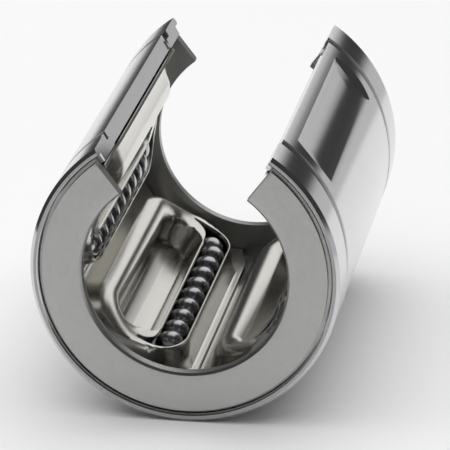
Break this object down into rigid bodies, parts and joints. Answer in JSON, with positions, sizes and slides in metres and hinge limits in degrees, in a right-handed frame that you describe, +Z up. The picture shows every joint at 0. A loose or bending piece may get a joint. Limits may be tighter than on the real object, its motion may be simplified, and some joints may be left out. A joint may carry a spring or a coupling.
{
  "type": "linear ball bushing",
  "caption": "Open-type linear ball bushing: a slotted ground sleeve with end rings, formed retainer segments and recirculating balls.",
  "frame": {"origin": "centre of the footprint on the surface the bushing lies on, below the middle of its axis", "axes": "+Y along the bushing axis from the front ring to the rear ring, +Z up out of the opening"},
  "size_m": [0.0396, 0.0572, 0.0361],
  "materials": {
    "ground_sleeve": "ground and polished hardened steel, satin",
    "ring_face": "fine matt face-ground steel",
    "formed_sheet": "bright formed sheet steel",
    "ball_steel": "mirror-polished hardened chrome steel"
  },
  "bodies": {
    "housing": {"outer_sleeve": "ground_sleeve", "end_ring_front": "ring_face", "end_ring_rear": "ring_face", "retainer_1": "formed_sheet", "return_balls_1": "ball_steel", "retainer_2": "formed_sheet", "return_balls_2": "ball_steel", "retainer_3": "formed_sheet", "return_balls_3": "ball_steel", "retainer_4": "formed_sheet", "return_balls_4": "ball_steel"},
    "load_ball_1_1": {"load_ball_1_1": "ball_steel"},
    "load_ball_1_2": {"load_ball_1_2": "ball_steel"},
    "load_ball_1_3": {"load_ball_1_3": "ball_steel"},
    "load_ball_1_4": {"load_ball_1_4": "ball_steel"},
    "load_ball_1_5": {"load_ball_1_5": "ball_steel"},
    "load_ball_1_6": {"load_ball_1_6": "ball_steel"},
    "load_ball_1_7": {"load_ball_1_7": "ball_steel"},
    "load_ball_1_8": {"load_ball_1_8": "ball_steel"},
    "load_ball_1_9": {"load_ball_1_9": "ball_steel"},
    "load_ball_2_1": {"load_ball_2_1": "ball_steel"},
    "load_ball_2_2": {"load_ball_2_2": "ball_steel"},
    "load_ball_2_3": {"load_ball_2_3": "ball_steel"},
    "load_ball_2_4": {"load_ball_2_4": "ball_steel"},
    "load_ball_2_5": {"load_ball_2_5": "ball_steel"},
    "load_ball_2_6": {"load_ball_2_6": "ball_steel"},
    "load_ball_2_7": {"load_ball_2_7": "ball_steel"},
    "load_ball_2_8": {"load_ball_2_8": "ball_steel"},
    "load_ball_2_9": {"load_ball_2_9": "ball_steel"},
    "load_ball_3_1": {"load_ball_3_1": "ball_steel"},
    "load_ball_3_2": {"load_ball_3_2": "ball_steel"},
    "load_ball_3_3": {"load_ball_3_3": "ball_steel"},
    "load_ball_3_4": {"load_ball_3_4": "ball_steel"},
    "load_ball_3_5": {"load_ball_3_5": "ball_steel"},
    "load_ball_3_6": {"load_ball_3_6": "ball_steel"},
    "load_ball_3_7": {"load_ball_3_7": "ball_steel"},
    "load_ball_3_8": {"load_ball_3_8": "ball_steel"},
    "load_ball_3_9": {"load_ball_3_9": "ball_steel"},
    "load_ball_4_1": {"load_ball_4_1": "ball_steel"},
    "load_ball_4_2": {"load_ball_4_2": "ball_steel"},
    "load_ball_4_3": {"load_ball_4_3": "ball_steel"},
    "load_ball_4_4": {"load_ball_4_4": "ball_steel"},
    "load_ball_4_5": {"load_ball_4_5": "ball_steel"},
    "load_ball_4_6": {"load_ball_4_6": "ball_steel"},
    "load_ball_4_7": {"load_ball_4_7": "ball_steel"},
    "load_ball_4_8": {"load_ball_4_8": "ball_steel"},
    "load_ball_4_9": {"load_ball_4_9": "ball_steel"}
  },
  "joints": [
    {"name": "ball_1_1_spin", "type": "hinge", "parent": "housing", "child": "load_ball_1_1", "pos_m": [0.01159, -0.01705, 0.02893], "axis": [0.6225, 0, -0.7826], "continuous": true},
    {"name": "ball_1_2_spin", "type": "hinge", "parent": "housing", "child": "load_ball_1_2", "pos_m": [0.01149, -0.01307, 0.02896], "axis": [0.6225, 0, -0.7826], "continuous": true},
    {"name": "ball_1_3_spin", "type": "hinge", "parent": "housing", "child": "load_ball_1_3", "pos_m": [0.01149, -0.00908, 0.02896], "axis": [0.6225, 0, -0.7826], "continuous": true},
    {"name": "ball_1_4_spin", "type": "hinge", "parent": "housing", "child": "load_ball_1_4", "pos_m": [0.01149, -0.00509, 0.02896], "axis": [0.6225, 0, -0.7826], "continuous": true},
    {"name": "ball_1_5_spin", "type": "hinge", "parent": "housing", "child": "load_ball_1_5", "pos_m": [0.01149, -0.0011, 0.02896], "axis": [0.6225, 0, -0.7826], "continuous": true},
    {"name": "ball_1_6_spin", "type": "hinge", "parent": "housing", "child": "load_ball_1_6", "pos_m": [0.01149, 0.00289, 0.02896], "axis": [0.6225, 0, -0.7826], "continuous": true},
    {"name": "ball_1_7_spin", "type": "hinge", "parent": "housing", "child": "load_ball_1_7", "pos_m": [0.01149, 0.00688, 0.02896], "axis": [0.6225, 0, -0.7826], "continuous": true},
    {"name": "ball_1_8_spin", "type": "hinge", "parent": "housing", "child": "load_ball_1_8", "pos_m": [0.01149, 0.01087, 0.02896], "axis": [0.6225, 0, -0.7826], "continuous": true},
    {"name": "ball_1_9_spin", "type": "hinge", "parent": "housing", "child": "load_ball_1_9", "pos_m": [0.01149, 0.01486, 0.02896], "axis": [0.6225, 0, -0.7826], "continuous": true},
    {"name": "ball_2_1_spin", "type": "hinge", "parent": "housing", "child": "load_ball_2_1", "pos_m": [0.01225, -0.01705, 0.01161], "axis": [-0.5519, 0, -0.8339], "continuous": true},
    {"name": "ball_2_2_spin", "type": "hinge", "parent": "housing", "child": "load_ball_2_2", "pos_m": [0.01225, -0.01307, 0.01171], "axis": [-0.5519, 0, -0.8339], "continuous": true},
    {"name": "ball_2_3_spin", "type": "hinge", "parent": "housing", "child": "load_ball_2_3", "pos_m": [0.01225, -0.00908, 0.01171], "axis": [-0.5519, 0, -0.8339], "continuous": true},
    {"name": "ball_2_4_spin", "type": "hinge", "parent": "housing", "child": "load_ball_2_4", "pos_m": [0.01225, -0.00509, 0.01171], "axis": [-0.5519, 0, -0.8339], "continuous": true},
    {"name": "ball_2_5_spin", "type": "hinge", "parent": "housing", "child": "load_ball_2_5", "pos_m": [0.01225, -0.0011, 0.01171], "axis": [-0.5519, 0, -0.8339], "continuous": true},
    {"name": "ball_2_6_spin", "type": "hinge", "parent": "housing", "child": "load_ball_2_6", "pos_m": [0.01225, 0.00289, 0.01171], "axis": [-0.5519, 0, -0.8339], "continuous": true},
    {"name": "ball_2_7_spin", "type": "hinge", "parent": "housing", "child": "load_ball_2_7", "pos_m": [0.01225, 0.00688, 0.01171], "axis": [-0.5519, 0, -0.8339], "continuous": true},
    {"name": "ball_2_8_spin", "type": "hinge", "parent": "housing", "child": "load_ball_2_8", "pos_m": [0.01225, 0.01087, 0.01171], "axis": [-0.5519, 0, -0.8339], "continuous": true},
    {"name": "ball_2_9_spin", "type": "hinge", "parent": "housing", "child": "load_ball_2_9", "pos_m": [0.01225, 0.01486, 0.01171], "axis": [-0.5519, 0, -0.8339], "continuous": true},
    {"name": "ball_3_1_spin", "type": "hinge", "parent": "housing", "child": "load_ball_3_1", "pos_m": [-0.00402, -0.01705, 0.00563], "axis": [-0.9636, 0, 0.2672], "continuous": true},
    {"name": "ball_3_2_spin", "type": "hinge", "parent": "housing", "child": "load_ball_3_2", "pos_m": [-0.00392, -0.01307, 0.00567], "axis": [-0.9636, 0, 0.2672], "continuous": true},
    {"name": "ball_3_3_spin", "type": "hinge", "parent": "housing", "child": "load_ball_3_3", "pos_m": [-0.00392, -0.00908, 0.00567], "axis": [-0.9636, 0, 0.2672], "continuous": true},
    {"name": "ball_3_4_spin", "type": "hinge", "parent": "housing", "child": "load_ball_3_4", "pos_m": [-0.00392, -0.00509, 0.00567], "axis": [-0.9636, 0, 0.2672], "continuous": true},
    {"name": "ball_3_5_spin", "type": "hinge", "parent": "housing", "child": "load_ball_3_5", "pos_m": [-0.00392, -0.0011, 0.00567], "axis": [-0.9636, 0, 0.2672], "continuous": true},
    {"name": "ball_3_6_spin", "type": "hinge", "parent": "housing", "child": "load_ball_3_6", "pos_m": [-0.00392, 0.00289, 0.00567], "axis": [-0.9636, 0, 0.2672], "continuous": true},
    {"name": "ball_3_7_spin", "type": "hinge", "parent": "housing", "child": "load_ball_3_7", "pos_m": [-0.00392, 0.00688, 0.00567], "axis": [-0.9636, 0, 0.2672], "continuous": true},
    {"name": "ball_3_8_spin", "type": "hinge", "parent": "housing", "child": "load_ball_3_8", "pos_m": [-0.00392, 0.01087, 0.00567], "axis": [-0.9636, 0, 0.2672], "continuous": true},
    {"name": "ball_3_9_spin", "type": "hinge", "parent": "housing", "child": "load_ball_3_9", "pos_m": [-0.00392, 0.01486, 0.00567], "axis": [-0.9636, 0, 0.2672], "continuous": true},
    {"name": "ball_4_1_spin", "type": "hinge", "parent": "housing", "child": "load_ball_4_1", "pos_m": [-0.01474, -0.01705, 0.01926], "axis": [-0.0436, 0, 0.999], "continuous": true},
    {"name": "ball_4_2_spin", "type": "hinge", "parent": "housing", "child": "load_ball_4_2", "pos_m": [-0.01467, -0.01307, 0.01918], "axis": [-0.0436, 0, 0.999], "continuous": true},
    {"name": "ball_4_3_spin", "type": "hinge", "parent": "housing", "child": "load_ball_4_3", "pos_m": [-0.01467, -0.00908, 0.01918], "axis": [-0.0436, 0, 0.999], "continuous": true},
    {"name": "ball_4_4_spin", "type": "hinge", "parent": "housing", "child": "load_ball_4_4", "pos_m": [-0.01467, -0.00509, 0.01918], "axis": [-0.0436, 0, 0.999], "continuous": true},
    {"name": "ball_4_5_spin", "type": "hinge", "parent": "housing", "child": "load_ball_4_5", "pos_m": [-0.01467, -0.0011, 0.01918], "axis": [-0.0436, 0, 0.999], "continuous": true},
    {"name": "ball_4_6_spin", "type": "hinge", "parent": "housing", "child": "load_ball_4_6", "pos_m": [-0.01467, 0.00289, 0.01918], "axis": [-0.0436, 0, 0.999], "continuous": true},
    {"name": "ball_4_7_spin", "type": "hinge", "parent": "housing", "child": "load_ball_4_7", "pos_m": [-0.01467, 0.00688, 0.01918], "axis": [-0.0436, 0, 0.999], "continuous": true},
    {"name": "ball_4_8_spin", "type": "hinge", "parent": "housing", "child": "load_ball_4_8", "pos_m": [-0.01467, 0.01087, 0.01918], "axis": [-0.0436, 0, 0.999], "continuous": true},
    {"name": "ball_4_9_spin", "type": "hinge", "parent": "housing", "child": "load_ball_4_9", "pos_m": [-0.01467, 0.01486, 0.01918], "axis": [-0.0436, 0, 0.999], "continuous": true}
  ],
  "couplings": [
    {"joint": "ball_1_1_spin", "follows": "ball_1_5_spin", "ratio": 1},
    {"joint": "ball_1_2_spin", "follows": "ball_1_5_spin", "ratio": 1},
    {"joint": "ball_1_3_spin", "follows": "ball_1_5_spin", "ratio": 1},
    {"joint": "ball_1_4_spin", "follows": "ball_1_5_spin", "ratio": 1},
    {"joint": "ball_1_6_spin", "follows": "ball_1_5_spin", "ratio": 1},
    {"joint": "ball_1_7_spin", "follows": "ball_1_5_spin", "ratio": 1},
    {"joint": "ball_1_8_spin", "follows": "ball_1_5_spin", "ratio": 1},
    {"joint": "ball_1_9_spin", "follows": "ball_1_5_spin", "ratio": 1},
    {"joint": "ball_2_1_spin", "follows": "ball_2_5_spin", "ratio": 1},
    {"joint": "ball_2_2_spin", "follows": "ball_2_5_spin", "ratio": 1},
    {"joint": "ball_2_3_spin", "follows": "ball_2_5_spin", "ratio": 1},
    {"joint": "ball_2_4_spin", "follows": "ball_2_5_spin", "ratio": 1},
    {"joint": "ball_2_6_spin", "follows": "ball_2_5_spin", "ratio": 1},
    {"joint": "ball_2_7_spin", "follows": "ball_2_5_spin", "ratio": 1},
    {"joint": "ball_2_8_spin", "follows": "ball_2_5_spin", "ratio": 1},
    {"joint": "ball_2_9_spin", "follows": "ball_2_5_spin", "ratio": 1},
    {"joint": "ball_3_1_spin", "follows": "ball_3_5_spin", "ratio": 1},
    {"joint": "ball_3_2_spin", "follows": "ball_3_5_spin", "ratio": 1},
    {"joint": "ball_3_3_spin", "follows": "ball_3_5_spin", "ratio": 1},
    {"joint": "ball_3_4_spin", "follows": "ball_3_5_spin", "ratio": 1},
    {"joint": "ball_3_6_spin", "follows": "ball_3_5_spin", "ratio": 1},
    {"joint": "ball_3_7_spin", "follows": "ball_3_5_spin", "ratio": 1},
    {"joint": "ball_3_8_spin", "follows": "ball_3_5_spin", "ratio": 1},
    {"joint": "ball_3_9_spin", "follows": "ball_3_5_spin", "ratio": 1},
    {"joint": "ball_4_1_spin", "follows": "ball_4_5_spin", "ratio": 1},
    {"joint": "ball_4_2_spin", "follows": "ball_4_5_spin", "ratio": 1},
    {"joint": "ball_4_3_spin", "follows": "ball_4_5_spin", "ratio": 1},
    {"joint": "ball_4_4_spin", "follows": "ball_4_5_spin", "ratio": 1},
    {"joint": "ball_4_6_spin", "follows": "ball_4_5_spin", "ratio": 1},
    {"joint": "ball_4_7_spin", "follows": "ball_4_5_spin", "ratio": 1},
    {"joint": "ball_4_8_spin", "follows": "ball_4_5_spin", "ratio": 1},
    {"joint": "ball_4_9_spin", "follows": "ball_4_5_spin", "ratio": 1}
  ]
}
